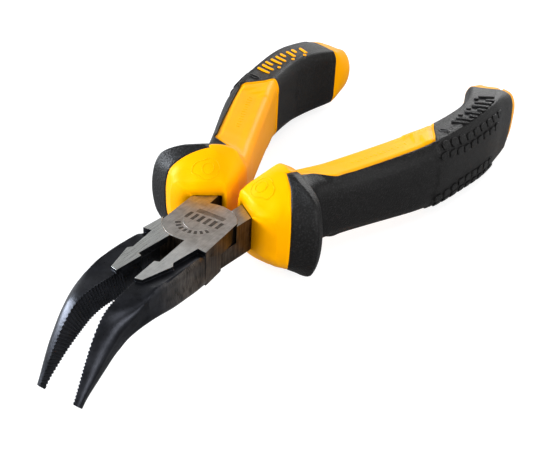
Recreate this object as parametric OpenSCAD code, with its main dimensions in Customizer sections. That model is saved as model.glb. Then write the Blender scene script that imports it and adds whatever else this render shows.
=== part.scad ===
// Bent needle-nose pliers with two-component hand grips.
// Two forged levers cross in a lap joint on one flush rivet. Each handle is a
// hard yellow grip core pressed over the lever's tang, with a soft black
// overmould on top. Millimetres, +Z is the pivot axis and points away from
// the side the nose bends to, -X (front) points along the jaws. Origin: the pivot
// axis at the upper ground face of the joint. Lever a carries the jaw on the -Y side.
// Shapes are drawn for lever a, closed, with z = 0 at mid-thickness of the joint.

/* [Head] */
// Width of the joint across its two ground sides; all forged and moulded stations scale with it
head_width = 15.8; // [15.2:0.1:16.6]
// Thickness of the joint between its two ground faces
head_thickness = 8.9; // [8.6:0.1:9.1]
// Radius of the two half-thickness laps, as a share of the head width
lap_ratio = 0.551; // [0.54:0.001:0.56]
// Clearance between the faces and arcs of the two laps
lap_clearance = 0.06; // [0.04:0.01:0.12]

/* [Pivot] */
// Diameter of the rivet shank
rivet_d = 6; // [5:0.1:6.6]
// Diameter of the countersunk rivet heads at the ground faces
rivet_head_d = 7.8; // [7.2:0.1:8.6]
// Depth of each countersunk head
rivet_head_h = 0.9; // [0.6:0.1:1.4]
// Radial clearance of the turning lever on the rivet
bearing_clearance = 0.04; // [0.02:0.01:0.08]

/* [Jaws] */
// Angle between the two levers in the modelled pose
opening_angle = 10.5; // [3:0.5:20]
// Pitch of the gripping teeth along the jaw
tooth_pitch = 0.74; // [0.6:0.01:1.2]
// Depth of the gripping teeth
tooth_depth = 0.26; // [0.12:0.01:0.3]
// Height of the polished arrow above the forged top of the jaw
arrow_height = 0.85; // [0.7:0.05:1]

/* [Grips] */
// Thickness of the soft overmould
skin = 1.7; // [1.4:0.1:1.9]
// Extra height of the rear sleeve above the plain grip behind its step line
sleeve_step = 0.25; // [0.1:0.05:0.4]

/* [Hidden] */

unit = head_width / 17;       // station unit: the head is 17 units wide
half_width = head_width / 2;
half_thickness = head_thickness / 2;
lap_radius = lap_ratio * head_width;
lap_facets = 96;
rivet_facets = 72;
tight_fit = 0.01;             // radial clearance of the lever fixed on the rivet
slit = 0.03;                  // half of the slit between the closed jaws
mould_gap = 0.035;            // between the two grip components
tang_fit = 0.04;              // gap between tang and grip core

steel_a = [0.16, 0.15, 0.15];
steel_b = [0.22, 0.21, 0.21];
rivet_steel = [0.55, 0.54, 0.52];
yellow = [1.0, 0.72, 0.0];
black = [0.07, 0.07, 0.075];

// ---------- curves and rings ----------
function mix(from, to, share) = from + (to - from) * share;
function flat(rings) = [for (ring = rings) each ring];
function mean(ring) = [for (k = [0:2])
    let (values = [for (point = ring) point[k]]) (values * [for (v = values) 1]) / len(ring)];
function shift_x(ring, distance) = [for (point = ring) point + [distance, 0, 0]];

function segment(table, x, i = 0) =
    i >= len(table) - 2 || x < table[i + 1][0] ? i : segment(table, x, i + 1);
function slope(table, i, column) =
    let (before = table[max(i - 1, 0)], after = table[min(i + 1, len(table) - 1)])
    (after[column] - before[column]) / (after[0] - before[0]);
// smooth cubic curve through a column of the table, read at x (column 0)
function smooth(table, x, column) =
    let (at = min(max(x, table[0][0]), table[len(table) - 1][0]),
         i = segment(table, at),
         step = table[i + 1][0] - table[i][0],
         s = (at - table[i][0]) / step,
         slope_0 = slope(table, i, column) * step,
         slope_1 = slope(table, i + 1, column) * step)
    (2 * s * s * s - 3 * s * s + 1) * table[i][column]
    + (s * s * s - 2 * s * s + s) * slope_0
    + (3 * s * s - 2 * s * s * s) * table[i + 1][column]
    + (s * s * s - s * s) * slope_1;

// two triangles across four corners
function quad(p, q, r, s) = [[p, s, q], [s, r, q]];
// closed solid through rings of equal length, with a fanned cap at each end
module loft(rings) {
    n = len(rings[0]);
    m = len(rings);
    first = m * n;            // centre points of the two caps
    last = first + 1;
    polyhedron(
        points = concat(flat(rings), [mean(rings[0]), mean(rings[m - 1])]),
        faces = concat(
            [for (i = [0:m - 2]) for (j = [0:n - 1]) let (k = (j + 1) % n)
                each quad(i * n + j, (i + 1) * n + j, (i + 1) * n + k, i * n + k)],
            [for (j = [0:n - 1]) [first, (j + 1) % n, j]],
            [for (j = [0:n - 1]) [last, (m - 1) * n + j, (m - 1) * n + (j + 1) % n]]),
        convexity = 8);
}

// ---------- forged nose ----------
// top edge x, z, bottom edge x, z on the gripping face, outward width, roundness (place in FORMS)
NOSE = [
    [-9.7, 3.34, -9.7, -4.76, 8.47, 0],       [-11.4, 3.4, -11.4, -4.76, 8.46, 0.4],
    [-13.2, 3.5, -13.2, -4.76, 8.42, 0.9],    [-15.6, 3.6, -15.6, -4.7, 8.3, 1],
    [-19, 3.75, -18.6, -4.5, 8.05, 1],        [-22.5, 3.85, -21.8, -4.2, 7.86, 1.1],
    [-25.6, 3.92, -24.6, -3.8, 7.76, 1.55],   [-28.6, 3.93, -27.3, -3.4, 7.47, 2],
    [-31.5, 3.85, -30, -3.12, 7.04, 2.25],    [-34.2, 3.72, -32.4, -3.2, 6.53, 2.55],
    [-36.6, 3.5, -34.4, -3.55, 5.96, 2.8],    [-38.8, 2.95, -36.3, -4.15, 5.3, 2.95],
    [-40.8, 1.91, -37.9, -4.95, 4.7, 3],      [-43, -0.1, -39.6, -5.95, 4.22, 3],
    [-45.3, -2.9, -41.3, -7, 3.72, 3],        [-47.3, -5.8, -43.9, -8.8, 3.26, 3],
    [-49, -8.5, -46.3, -10.75, 2.7, 3],       [-51, -11.8, -49.2, -13.3, 1.96, 3],
    [-52.25, -13.7, -51, -15.38, 1.56, 3]];
nose_end = len(NOSE) - 1;
NUMBERED_NOSE = [for (i = [0:nose_end]) concat([i], NOSE[i])];

// length along the middle of the gripping face up to each station
function nose_mid(i) = [NOSE[i][0] + NOSE[i][2], NOSE[i][1] + NOSE[i][3]] / 2 * unit;
function run(i) = i <= 0 ? 0 : run(i - 1) + norm(nose_mid(i) - nose_mid(i - 1));
RUN = [for (i = [0:nose_end]) [run(i), i]];

grip_face_start = 4.37;       // in stations
joint_setback = 1.3 * unit + 0.05; // of the jaw between the gripping face and the joint
teeth_start = mix(RUN[6][0], RUN[7][0], 0.3);
tooth_count = floor((RUN[nose_end][0] - teeth_start) / tooth_pitch);

// outline of a nose section, share of width and of height: square at the joint, scooped with a
// raised outer edge beside the arrow, drafted, and rounded towards the tip
FORMS = [
    [[0.35, 0], [0.7, 0], [0.94, 0.01], [0.99, 0.05], [1, 0.2],
     [1, 0.5], [1, 0.85], [0.98, 0.97], [0.6, 1], [0.3, 1]],
    [[0.35, 0], [0.62, -0.01], [0.8, -0.05], [0.9, -0.09], [0.95, -0.1],
     [0.975, -0.06], [0.99, 0.4], [1, 0.92], [0.6, 1], [0.3, 1]],
    [[0.35, 0], [0.55, -0.02], [0.7, -0.06], [0.79, -0.09], [0.84, -0.1],
     [0.87, -0.06], [0.94, 0.4], [1, 0.9], [0.6, 1], [0.3, 1]],
    [[0.35, 0.03], [0.6, 0.08], [0.8, 0.16], [0.94, 0.26], [0.99, 0.34],
     [1, 0.5], [0.995, 0.75], [0.96, 0.92], [0.6, 1], [0.3, 1]]];
function form(roundness) =
    let (i = min(floor(roundness), 2)) mix(FORMS[i], FORMS[i + 1], roundness - i);

// section at a station, its inner face set back from y = 0
function nose_ring(station, setback) =
    let (row = [for (k = [1:6]) smooth(NUMBERED_NOSE, station, k)],
         top = [row[0], row[1]] * unit,
         bottom = [row[2], row[3]] * unit,
         width = row[4] * unit,
         back = setback / width,
         outline = concat([[back, 0]], form(row[5]), [[back, 1], [back, 0.66], [back, 0.33]]))
    [for (p = outline) let (edge = mix(top, bottom, p[1]))
        [edge[0], -max(p[0] * width, setback), edge[1]]];

module nose() {
    loft(concat(
        [for (station = [0, 1, 2, 3, 4, grip_face_start]) nose_ring(station, joint_setback)],
        [for (station = [grip_face_start + 0.01, 5, 5.6]) nose_ring(station, slit)],
        // crests and roots of the teeth in turn
        [for (k = [0:2 * tooth_count])
            nose_ring(lookup(teeth_start + k * tooth_pitch / 2, RUN),
                      k % 2 == 0 ? slit : slit + tooth_depth)],
        [nose_ring(nose_end, slit + 0.6 * tooth_depth)]));
}

// ---------- levers ----------
arrow_edge = -slit - 0.04;    // y of the arrow along the gripping face
arrow_depth = (arrow_height + 0.9) * unit; // reaches 0.9 units into the jaw

// polished arrow, joint side block of the jaw and block of the tang, seen from above
module arrow_2d() polygon([
    [-9, -1.3] * unit, [-20, -1.3] * unit, [-20.35 * unit, arrow_edge],
    [-28.3 * unit, arrow_edge], [-28, -2] * unit, [-20.1, -5] * unit,
    [-18.85, -4.25] * unit, [-10.8, -6] * unit, [-9, -6] * unit]);
module jaw_2d() polygon([
    [-3, -1.3] * unit, [-10.2, -1.3] * unit, [-10.8, -1.9] * unit,
    [-10.8, -6] * unit, [-11.3 * unit, -half_width], [-3 * unit, -half_width]]);
module tang_2d() polygon([
    [2, 2.5] * unit, [13.4, 2.5] * unit, [9.7 * unit, half_width], [2 * unit, half_width]]);
module lap_2d() intersection() {
    circle(r = lap_radius, $fn = lap_facets);
    square([4 * half_width, 2 * half_width], center = true);
}
// room for the lap of the other lever
module lap_room_2d() circle(r = lap_radius + lap_clearance, $fn = lap_facets);

// tang inside the grip: x, inner side y, outer side y, half height
TANG = [
    [9.5, 2.6, 8.42, 4.7], [15.1, 2.6, 8.42, 4.7], [16, 2.9, 8.9, 4.6], [24, 5.2, 10.8, 4.2],
    [33, 8.4, 13.8, 3.9], [42, 11.7, 17, 3.6], [52, 15.4, 20.4, 3.3], [62, 18.8, 23.6, 3],
    [71, 21.2, 25.7, 2.8], [80, 23.1, 27.3, 2.6], [92, 24.4, 27.8, 2.3]] * unit;
module tang() loft([for (t = TANG)
    [[t[0], t[1], t[3]], [t[0], t[2], t[3]], [t[0], t[2], -t[3]], [t[0], t[1], -t[3]]]]);

// countersunk head at the upper (side = 1) or lower (side = -1) ground face
module rivet_head(side, clearance = 0) {
    shank_r = rivet_d / 2 + clearance;
    rim_r = rivet_head_d / 2 + clearance;
    translate([0, 0, side > 0 ? half_thickness - rivet_head_h : -half_thickness])
        cylinder(r1 = side > 0 ? shank_r : rim_r, r2 = side > 0 ? rim_r : shank_r,
                 h = rivet_head_h, $fn = rivet_facets);
}

// one lever, jaw on -Y, tang on +Y; side = 1 has its lap above the joint plane, -1 below
module lever(side, clearance) difference() {
    union() {
        // half with the lap
        translate([0, 0, side > 0 ? lap_clearance / 2 : -half_thickness])
            linear_extrude(half_thickness - lap_clearance / 2) {
                lap_2d();
                jaw_2d();
                tang_2d();
            }
        // half cut away for the other lever
        translate([0, 0, side > 0 ? -half_thickness : -lap_clearance / 2])
            linear_extrude(half_thickness + lap_clearance / 2) difference() {
                union() {
                    jaw_2d();
                    tang_2d();
                }
                lap_room_2d();
            }
        translate([0, 0, half_thickness - arrow_depth])
            linear_extrude(arrow_depth) difference() {
                arrow_2d();
                lap_room_2d();
            }
        nose();
        tang();
    }
    translate([0, 0, -head_thickness])
        cylinder(r = rivet_d / 2 + clearance, h = 2 * head_thickness, $fn = rivet_facets);
    rivet_head(side, clearance);
}

// ---------- grip rings ----------
// A ring has 24 points: 0 in the middle of the inner side, over the top (+Z) to 12 in the
// middle of the outer side (+Y), and back underneath. Tables list points 0 to 12.
N = 24;
line_top = 6;                 // points on the colour line, above and below
line_bottom = N - line_top;
function on_line(j) = j == line_top || j == line_bottom;
// overmould covers the outer side between the lines
function covered(j) = j > line_top && j < line_bottom;
// ring from its points 0 to 12, mirrored in z
function whole(half) =
    concat(half, [for (j = [11:-1:1]) [half[j][0], half[j][1], -half[j][2]]]);

// rings in order from the mouth backwards, each point x, y, z
COLLAR = whole([
    [14.3, 0.45, 0], [14.3, 0.45, 3.5], [14.4, 0.6, 6], [14.5, 1.2, 8.1], [13.6, 3.6, 8.45],
    [12.5, 5.7, 8.35], [11.8, 7.8, 8.1], [11.4, 11.4, 7.3], [11.2, 14.2, 6.6],
    [11.1, 15.4, 5.4], [11.05, 15.7, 3.8], [11, 15.9, 2], [11, 15.9, 0]]) * unit;
COLOUR_LINE = whole([
    [20.5, 0.45, 0], [20.5, 0.45, 3.8], [20.5, 0.7, 7], [20.7, 1.9, 9.8], [21, 4.2, 11.8],
    [21, 7, 13], [21.4, 10, 13.5], [19.6, 12.4, 12.9], [17.6, 14.6, 11.8],
    [15.4, 16.4, 10.3], [13.9, 17.7, 8.6], [13.1, 18.5, 5], [12.9, 18.7, 0]]) * unit;
// rim and back of the finger guard, and the neck behind it
RIM = whole([
    [25.2, 0.9, 0], [25.2, 0.9, 4], [25.3, 1.2, 7.5], [25.5, 2.6, 10.6], [25.8, 4.6, 12.9],
    [25, 6.5, 13.6], [22.6, 11, 13.8], [20.2, 15.2, 13.5], [18.3, 19.8, 12.4],
    [16.9, 23, 10.3], [16.2, 24.3, 7.6], [15.9, 25.1, 4], [15.8, 25.4, 0]]) * unit;
BACK = whole([
    [27, 1.3, 0], [27, 1.3, 4], [27, 1.6, 7.4], [27, 3.2, 10], [27.5, 5.2, 11.7],
    [27.4, 7.2, 12.1], [25.8, 10.8, 12.7], [23.2, 15, 12.7], [21.4, 19.3, 11.8],
    [20.1, 22.3, 9.8], [19.4, 23.5, 7.2], [19.1, 24.3, 3.8], [19, 24.6, 0]]) * unit;
NECK = whole([
    [28.4, 1.9, 0], [28.4, 1.9, 4], [28.4, 2.2, 7], [28.5, 3.8, 9], [28.7, 5.4, 10.1],
    [28.6, 7.2, 10.6], [27.4, 10, 11], [25.6, 13, 10.8], [23.8, 15.4, 9.8],
    [22.7, 17, 8], [22, 17.9, 5.8], [21.7, 18.4, 3], [21.6, 18.6, 0]]) * unit;
// how far the shoulder between mouth and colour line swells in z past a straight one
SWELL = whole([for (k = [0, 0, 0.1, 0.3, 0.6, 0.8, 0.9, 1, 1, 0.8, 0.4, 0.1, 0]) [0, 0, k]])
    * 0.9 * unit;

// x, outer side y, inner side y, half height, position of the colour line as a share of the width
BODY = [
    [22, 14.4, 0.45, 10.2, 0.5],     [30, 17.3, 2.6, 9.4, 0.5],      [35.5, 19.2, 4.6, 9.15, 0.5],
    [38.5, 20.3, 5.8, 9.1, 0.74],    [42, 21.6, 7.1, 9.1, 0.79],     [62, 28.9, 13.6, 10, 0.76],
    [70.3, 30.6, 16.2, 10.55, 0.77], [80, 31.6, 18.9, 11.1, 0.77],   [96, 32.3, 20.1, 11.7, 0.77],
    [104, 31.9, 19, 11.8, 0.77],     [110, 31.2, 17.1, 11.5, 0.74],  [116, 30.7, 14.3, 10.8, 0.72],
    [120, 30.1, 12.4, 10.1, 0.7],    [124, 29, 11.7, 9.1, 0.68],     [126.5, 27.7, 12.2, 7.9, 0.66],
    [128.6, 26.2, 13.5, 6.3, 0.62],  [130.1, 24.1, 15.6, 4.2, 0.6],  [130.8, 21.9, 18, 2.2, 0.6]];
step_x = 68.6;                // the sleeve step rises from here, over step_ramp
step_ramp = 0.8;
step_end_x = 118;
cap_x = 116.5;                // the inner side turns to the rounder end cap, over cap_blend
cap_blend = 7;

// point j of the grip surface at x, in station units
function body_point(x, j) =
    let (raised = x > step_x && x < step_end_x,
         step = raised ? sleeve_step / unit * min(1, (x - step_x) / step_ramp) : 0,
         out = smooth(BODY, x, 1) + step,
         in = smooth(BODY, x, 2),
         high = smooth(BODY, x, 3) + step,
         line = smooth(BODY, x, 4) * (out - in),
         r = min(1, high / 9),          // corner size, shrinking with the height
         e = min(1, max(0, (x - cap_x) / cap_blend)),
         cap = e * e * (3 - 2 * e))
    concat([x], [
        [in, 0],
        [in + 0.55 * cap * r, mix(0.36, 0.42, cap) * high],
        [in + mix(0.25, 2.1, cap) * r, mix(high - 3 * r, 0.76 * high, cap)],
        [in + mix(1.3, 3.7, cap) * r, mix(high - 1.2 * r, 0.92 * high, cap)],
        [in + 0.33 * line + mix(0.9, 1.7, cap) * r, high - 0.6 * r],
        [in + 0.68 * line + 0.4 * r, high - 0.15 * r],
        [in + line, high + 0.3 * r],
        [mix(in + line, out - 1.9 * r, 0.24), high + 0.25 * r],
        [out - 1.9 * r, high - 0.75 * r],
        [out - 0.75 * r, high - 2.5 * r],
        [out - 0.2 * r, 0.5 * high],
        [out, 0.25 * high],
        [out, 0]][j]);
// ring from the x of each of its points 0 to 12
function body_ring(xs) = whole([for (j = [0:12]) body_point(xs[j], j)]) * unit;

// x of points 0 to 12 where the plain grip starts, where the strip of core showing on the
// inner side ends, and where the sleeve ends
GRIP_START = [31, 31, 31, 31, 31, 31, 31, 30, 29, 28, 27.4, 27, 27];
STRIP_END = [81.2, 81.2, 81.2, 81.2, 77.5, 73.8, 70.3, 70.1, 70, 70, 70, 70, 70];
SLEEVE_END = [117, 117, 117, 117.2, 119.2, 120.4, 120.8, 120.8, 120.5, 119.9, 119.4, 119, 119];
function front_share(x) =
    (x - GRIP_START[line_top]) / (STRIP_END[line_top] - GRIP_START[line_top]);

// from the colour line over the guard to the end of the strip
FRONT = concat([COLOUR_LINE, RIM, BACK, NECK, body_ring(GRIP_START)],
    [for (x = [35, 38.6, 42.5, 47.5, 52.5, 58, 64])
        body_ring(mix(GRIP_START, STRIP_END, front_share(x)))],
    [body_ring(STRIP_END)]);
// under the closed sleeve
REAR = concat(
    [for (share = [0.1, 0.22, 0.34, 0.46, 0.58, 0.7, 0.8, 0.9])
        body_ring(mix(STRIP_END, SLEEVE_END, share))],
    [body_ring(SLEEVE_END)]);
END_CAP = [for (x = [123.2, 126, 128.2, 129.8, 130.7]) body_ring([for (j = [0:12]) x])];
strip_end = len(FRONT) - 1;
sleeve_front = 0.3;           // length of the step in x where the sleeve closes round the core
lip_share = 0.25;             // height of the lip at the colour line, as a share of the way to RIM

// how far the core lies under the overmould: along x and towards the middle of the ring
SINK = [[0.9 * unit, 0.15], [1.6 * unit, skin + 0.4], [-0.5 * unit, skin + 0.7]];
function sink(i) = i < len(SINK) ? SINK[i] : [0, skin];
function sunk(ring, along, depth) =
    let (middle = mean(ring))
    [for (p = ring) let (inward = [0, middle[1] - p[1], middle[2] - p[2]])
        p + [along, 0, 0] + inward * (depth / norm(inward))];

// ---------- grip core ----------
// points 0 to 12 round a rectangle: share of the way from inner to outer side, share of height
RECTANGLE = [[0, 0], [0, 0.5], [0, 1], [0.18, 1], [0.36, 1], [0.54, 1], [0.7, 1], [0.86, 1],
    [1, 1], [1, 0.75], [1, 0.5], [1, 0.25], [1, 0]];
function box_ring(x_in, x_out, y_in, y_out, high) = whole([for (p = RECTANGLE)
    [mix(x_in, x_out, p[0]), mix(y_in, y_out, p[0]), p[1] * high]]);
function tang_hole_ring(t) =
    box_ring(t[0], t[0], t[1] - tang_fit, t[2] + tang_fit, t[3] + tang_fit);

// cavity for the tang, from its deep end out to the mouth
hole_y = half_width + tang_fit;
hole_z = half_thickness + tang_fit;
tang_end = len(TANG) - 1;
CAVITY = concat(
    [shift_x(tang_hole_ring(TANG[tang_end]), 0.3)],
    [for (i = [tang_end:-1:2]) tang_hole_ring(TANG[i])],
    [box_ring(TANG[1][0], TANG[1][0], 2.5 * unit - tang_fit, hole_y, hole_z),
     box_ring(14.2 * unit, 10 * unit, 1.5 * unit, hole_y, hole_z)]);

// bare ring on the inner side, sunk i-th FRONT ring where the overmould covers it
function core_ring(bare, i) =
    let (under = sunk(FRONT[i], sink(i)[0], sink(i)[1]))
    [for (j = [0:N - 1]) covered(j) ? under[j] : bare[j]];

module core() loft(concat(
    CAVITY,
    [COLLAR,
     mix(COLLAR, COLOUR_LINE, 0.35) + SWELL,
     mix(COLLAR, COLOUR_LINE, 0.7) + 0.6 * SWELL,
     COLOUR_LINE,
     core_ring(mix(COLOUR_LINE, RIM, lip_share), 0)],
    [for (i = [1:strip_end]) core_ring(FRONT[i], i)],
    [sunk(FRONT[strip_end], sleeve_front, skin)],
    [for (i = [0:len(REAR) - 2]) sunk(REAR[i], 0, skin)],
    [sunk(REAR[len(REAR) - 1], 0, skin)],
    [body_ring(SLEEVE_END)],
    END_CAP));

// ---------- overmould ----------
// open on the inner side as far as the strip, closed sleeve behind it
rear_end = len(REAR) - 1;
function rear_gap(i) = i == rear_end ? -mould_gap : 0;

OUTSIDE = concat(
    [for (i = [0:strip_end]) shift_x(FRONT[i], i == 0 || i == strip_end ? mould_gap : 0)],
    [shift_x(FRONT[strip_end], sleeve_front)],
    [for (i = [0:rear_end]) shift_x(REAR[i], rear_gap(i))]);
INSIDE = concat(
    [for (i = [0:strip_end])
        shift_x(sunk(FRONT[i], sink(i)[0], sink(i)[1] - mould_gap),
                i == 2 ? mould_gap : i < 2 ? -mould_gap : 0)],
    [sunk(FRONT[strip_end], sleeve_front + mould_gap, skin - mould_gap)],
    [for (i = [0:rear_end]) sunk(REAR[i], rear_gap(i), skin - mould_gap)]);

// the edge beside the colour line stands off it by the moulding gap
function stand_off(ring, j) =
    let (across = ring[j == line_top ? j + 1 : j - 1] - ring[j])
    ring[j] + across * (1.6 * mould_gap / norm(across));
OUTER = [for (i = [0:len(OUTSIDE) - 1]) [for (j = [0:N - 1])
    i <= strip_end && on_line(j) ? stand_off(OUTSIDE[i], j) : OUTSIDE[i][j]]];
// the lip leaves the colour line at the same height as the core's
INNER = [for (i = [0:len(INSIDE) - 1]) [for (j = [0:N - 1])
    i == 0 && on_line(j) ? mix(OUTER[0][j], OUTER[1][j], lip_share) : INSIDE[i][j]]];

module overmould() {
    a = strip_end;
    m = len(OUTER);
    // point numbers on the outer and inner surface
    E = function (i, j) i * N + j % N;
    I = function (i, j) (m + i) * N + j % N;
    // inner surface, with its feather edge joined to the outer one at the colour line
    C = function (i, j) on_line(j) && i > 0 && i <= a ? E(i, j) : I(i, j);
    polyhedron(points = concat(flat(OUTER), flat(INNER)), convexity = 8, faces = concat(
        // outer surface beside the strip
        [for (i = [0:a - 1]) for (j = [6:17]) if (i > 0 || (j > 6 && j < 17))
            each quad(E(i, j), E(i + 1, j), E(i + 1, j + 1), E(i, j + 1))],
        // corners of the lip, above and below
        [[I(0, 6), E(0, 7), E(1, 6)], [E(0, 7), E(1, 7), E(1, 6)], [I(0, 6), I(0, 7), E(0, 7)],
         [E(0, 17), E(0, 18), E(1, 17)], [E(0, 18), I(0, 18), E(1, 17)],
         [I(0, 18), E(1, 18), E(1, 17)]],
        // inner surface beside the strip
        [for (i = [0:a]) for (j = [6:17])
            each quad(C(i + 1, j + 1), C(i + 1, j), C(i, j), C(i, j + 1))],
        // front edge
        [for (j = [7:17]) each quad(E(0, j), E(0, j + 1), C(0, j + 1), C(0, j))],
        // front wall of the sleeve across the inner side
        [for (j = [18:29]) each quad(E(a, j), E(a, j + 1), I(a + 1, j + 1), I(a + 1, j))],
        // sleeve, outside and inside
        [for (i = [a:m - 2]) for (j = [0:N - 1])
            each quad(E(i, j), E(i + 1, j), E(i + 1, j + 1), E(i, j + 1))],
        [for (i = [a + 1:m - 2]) for (j = [0:N - 1])
            each quad(I(i + 1, j + 1), I(i + 1, j), I(i, j), I(i, j + 1))],
        // rear edge
        [for (j = [0:N - 1])
            each quad(I(m - 1, j), I(m - 1, j + 1), E(m - 1, j + 1), E(m - 1, j))]));
}

// ---------- nodes ----------
module side_a() translate([0, 0, -half_thickness]) rotate([0, 0, opening_angle / 2]) children();
module side_b() translate([0, 0, -half_thickness]) rotate([0, 0, -opening_angle / 2])
    mirror([0, 1, 0]) children();

module lever_a() color(steel_a) side_a() lever(1, tight_fit);
module lever_b() color(steel_b) side_b() lever(-1, bearing_clearance);
module pivot_rivet() color(rivet_steel) translate([0, 0, -half_thickness]) union() {
    translate([0, 0, -half_thickness])
        cylinder(r = rivet_d / 2, h = head_thickness, $fn = rivet_facets);
    rivet_head(1);
    rivet_head(-1);
}
module core_a() color(yellow) side_a() core();
module core_b() color(yellow) side_b() core();
module overmould_a() color(black) side_a() overmould();
module overmould_b() color(black) side_b() overmould();

lever_a();
lever_b();
pivot_rivet();
core_a();
core_b();
overmould_a();
overmould_b();
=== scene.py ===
"""Pliers with a bent, toothed nose and two-colour grips, open by OPEN.

The rivet's axis is the Z axis of the CAD frame. The nose runs to -X and bends down to -Z, the
grips run to +X. The head's upper face is at z = 0 and its lower face at z = -THICK.
Half "a" has its grip on +Y, its nose on -Y and the upper half of the lap joint. Half "b" is
mirrored in Y and has the lower half.

Both halves are built as half "a" of the closed tool, in mm, with z from the middle of the head.
There "inner" means towards the other half's grip (low y) and "outer" away from it.
to_frame() opens the half, mirrors it for "b" and gives metres.
"""

import math

import bmesh
import bpy
import numpy as np
from mathutils import Matrix, Vector
from mathutils.geometry import delaunay_2d_cdt


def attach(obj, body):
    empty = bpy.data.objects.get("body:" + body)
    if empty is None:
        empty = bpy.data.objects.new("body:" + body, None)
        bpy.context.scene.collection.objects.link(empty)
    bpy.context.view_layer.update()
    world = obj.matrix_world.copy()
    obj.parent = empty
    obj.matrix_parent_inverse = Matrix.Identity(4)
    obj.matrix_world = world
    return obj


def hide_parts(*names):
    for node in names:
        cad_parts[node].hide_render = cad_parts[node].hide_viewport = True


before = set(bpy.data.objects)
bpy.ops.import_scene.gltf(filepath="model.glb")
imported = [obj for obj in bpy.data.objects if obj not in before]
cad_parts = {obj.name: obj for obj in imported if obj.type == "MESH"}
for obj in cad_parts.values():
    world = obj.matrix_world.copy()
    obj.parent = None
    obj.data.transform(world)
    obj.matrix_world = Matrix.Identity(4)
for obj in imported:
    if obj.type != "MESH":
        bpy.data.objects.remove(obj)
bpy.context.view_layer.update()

# ---------------------------------------------------------------- driving dimensions, mm
HEAD_WIDTH = 15.8
HALF_WIDTH = HEAD_WIDTH / 2
THICK = 8.9
UNIT = HEAD_WIDTH / 17  # the tables are drawn for a head 17 wide; UNIT brings them to size
OPEN = math.radians(10.5)

LAP_RADIUS = 0.551 * HEAD_WIDTH
LAP_GAP = 0.06
RIVET_WIDTH, RIVET_HEAD_WIDTH, RIVET_HEAD_DEPTH = 6.0, 7.8, 0.9
FIXED_GAP, BEARING_GAP = 0.01, 0.04  # round the rivet, upper and lower lever
CONE_SEGMENTS = 128

TOOTH_PITCH, TOOTH_DEPTH = 0.74, 0.26
FACE_GAP = 0.03  # from the middle plane to a nose's gripping face
HOLLOW = 1.3 * UNIT + 0.05  # the same, behind the gripping face
ARROW_THICK = 1.75 * UNIT

SKIN = 1.7  # depth of the overmould
STEP = 0.25  # rise of the sleeve over the strip
SEAM = 0.035  # between overmould and core
FIT = 0.04  # between core and tang


# ---------------------------------------------------------------- curves
def smooth(t):
    t = np.clip(t, 0, 1)
    return t * t * (3 - 2 * t)


def mix(a, b, f):
    return a + (b - a) * f


def cubic(s, length, start, start_slope, end, end_slope):
    """Hermite cubic at s = 0..1 over a piece of the given length."""
    return (
        (2 * s**3 - 3 * s**2 + 1) * start
        + (s**3 - 2 * s**2 + s) * start_slope * length
        + (3 * s**2 - 2 * s**3) * end
        + (s**3 - s**2) * end_slope * length
    )


def read_table(table, x, column):
    """Smooth value of a table's column at x, where column 0 holds the x values."""
    table = np.asarray(table, float)
    X, Y = table[:, 0], table[:, column]
    n = len(X)
    before, after = np.maximum(np.arange(n) - 1, 0), np.minimum(np.arange(n) + 1, n - 1)
    slope = (Y[after] - Y[before]) / (X[after] - X[before])
    x = np.clip(np.asarray(x, float), X[0], X[-1])
    i = np.clip(np.searchsorted(X, x, side="right") - 1, 0, n - 2)
    length = X[i + 1] - X[i]
    return cubic((x - X[i]) / length, length, Y[i], slope[i], Y[i + 1], slope[i + 1])


def spline(points, places, creases=(), closed=False):
    """Smooth curve through points along axis 0, read at fractional indices."""
    points, places = np.asarray(points, float), np.asarray(places, float)
    if closed:
        points = np.concatenate([points[-2:], points, points[:3]])
        places = places + 2
    chord = points[1:] - points[:-1]
    length = np.linalg.norm(chord, axis=-1, keepdims=True) + 1e-9
    along = chord / length
    arriving = np.empty_like(points)
    arriving[1:-1] = (along[:-1] * length[1:] + along[1:] * length[:-1]) / (length[1:] + length[:-1])
    arriving[0], arriving[-1] = along[0], along[-1]
    leaving = arriving.copy()
    for c in creases:
        arriving[c], leaving[c] = along[c - 1], along[c]
    i = np.clip(np.floor(places).astype(int), 0, len(points) - 2)
    s = (places - i).reshape((-1,) + (1,) * (points.ndim - 1))
    return cubic(s, length[i], points[i], leaving[i], points[i + 1], arriving[i + 1])


def spread(start, end, count):
    return list(np.linspace(start, end, count, endpoint=False))


# ---------------------------------------------------------------- grip tables
# The grip is a stack of rings across X. A half ring has 13 points on +Z: 0 on the inner side,
# 6 on the colour line, 12 on the outer side. Mirrored to -Z they make columns 0..24.

# Stations: x, outer y, inner y, half height, share of the width where the colour line runs
BODY = [
    [22, 14.4, 0.45, 10.2, 0.5], [30, 17.3, 2.6, 9.4, 0.5], [32.9, 18.3, 3.65, 9.27, 0.54],
    [35.0, 19.03, 4.42, 9.17, 0.81], [38.5, 20.3, 5.8, 9.1, 0.81], [42, 21.6, 7.1, 9.1, 0.81],
    [62, 28.9, 13.6, 10, 0.76], [70.3, 30.6, 16.2, 10.55, 0.77], [80, 31.6, 18.9, 11.1, 0.77],
    [96, 32.3, 20.1, 11.7, 0.77], [104, 31.9, 19, 11.8, 0.77], [110, 31.2, 17.1, 11.5, 0.74],
    [116, 30.7, 14.3, 10.8, 0.72], [120, 30.1, 12.4, 10.1, 0.7], [124, 29, 11.7, 9.1, 0.68],
    [126.5, 27.7, 12.2, 7.9, 0.66], [128.6, 26.2, 13.5, 6.3, 0.62],
    [130.1, 24.1, 15.6, 4.2, 0.6], [130.8, 21.9, 18, 2.2, 0.6],
]

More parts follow.
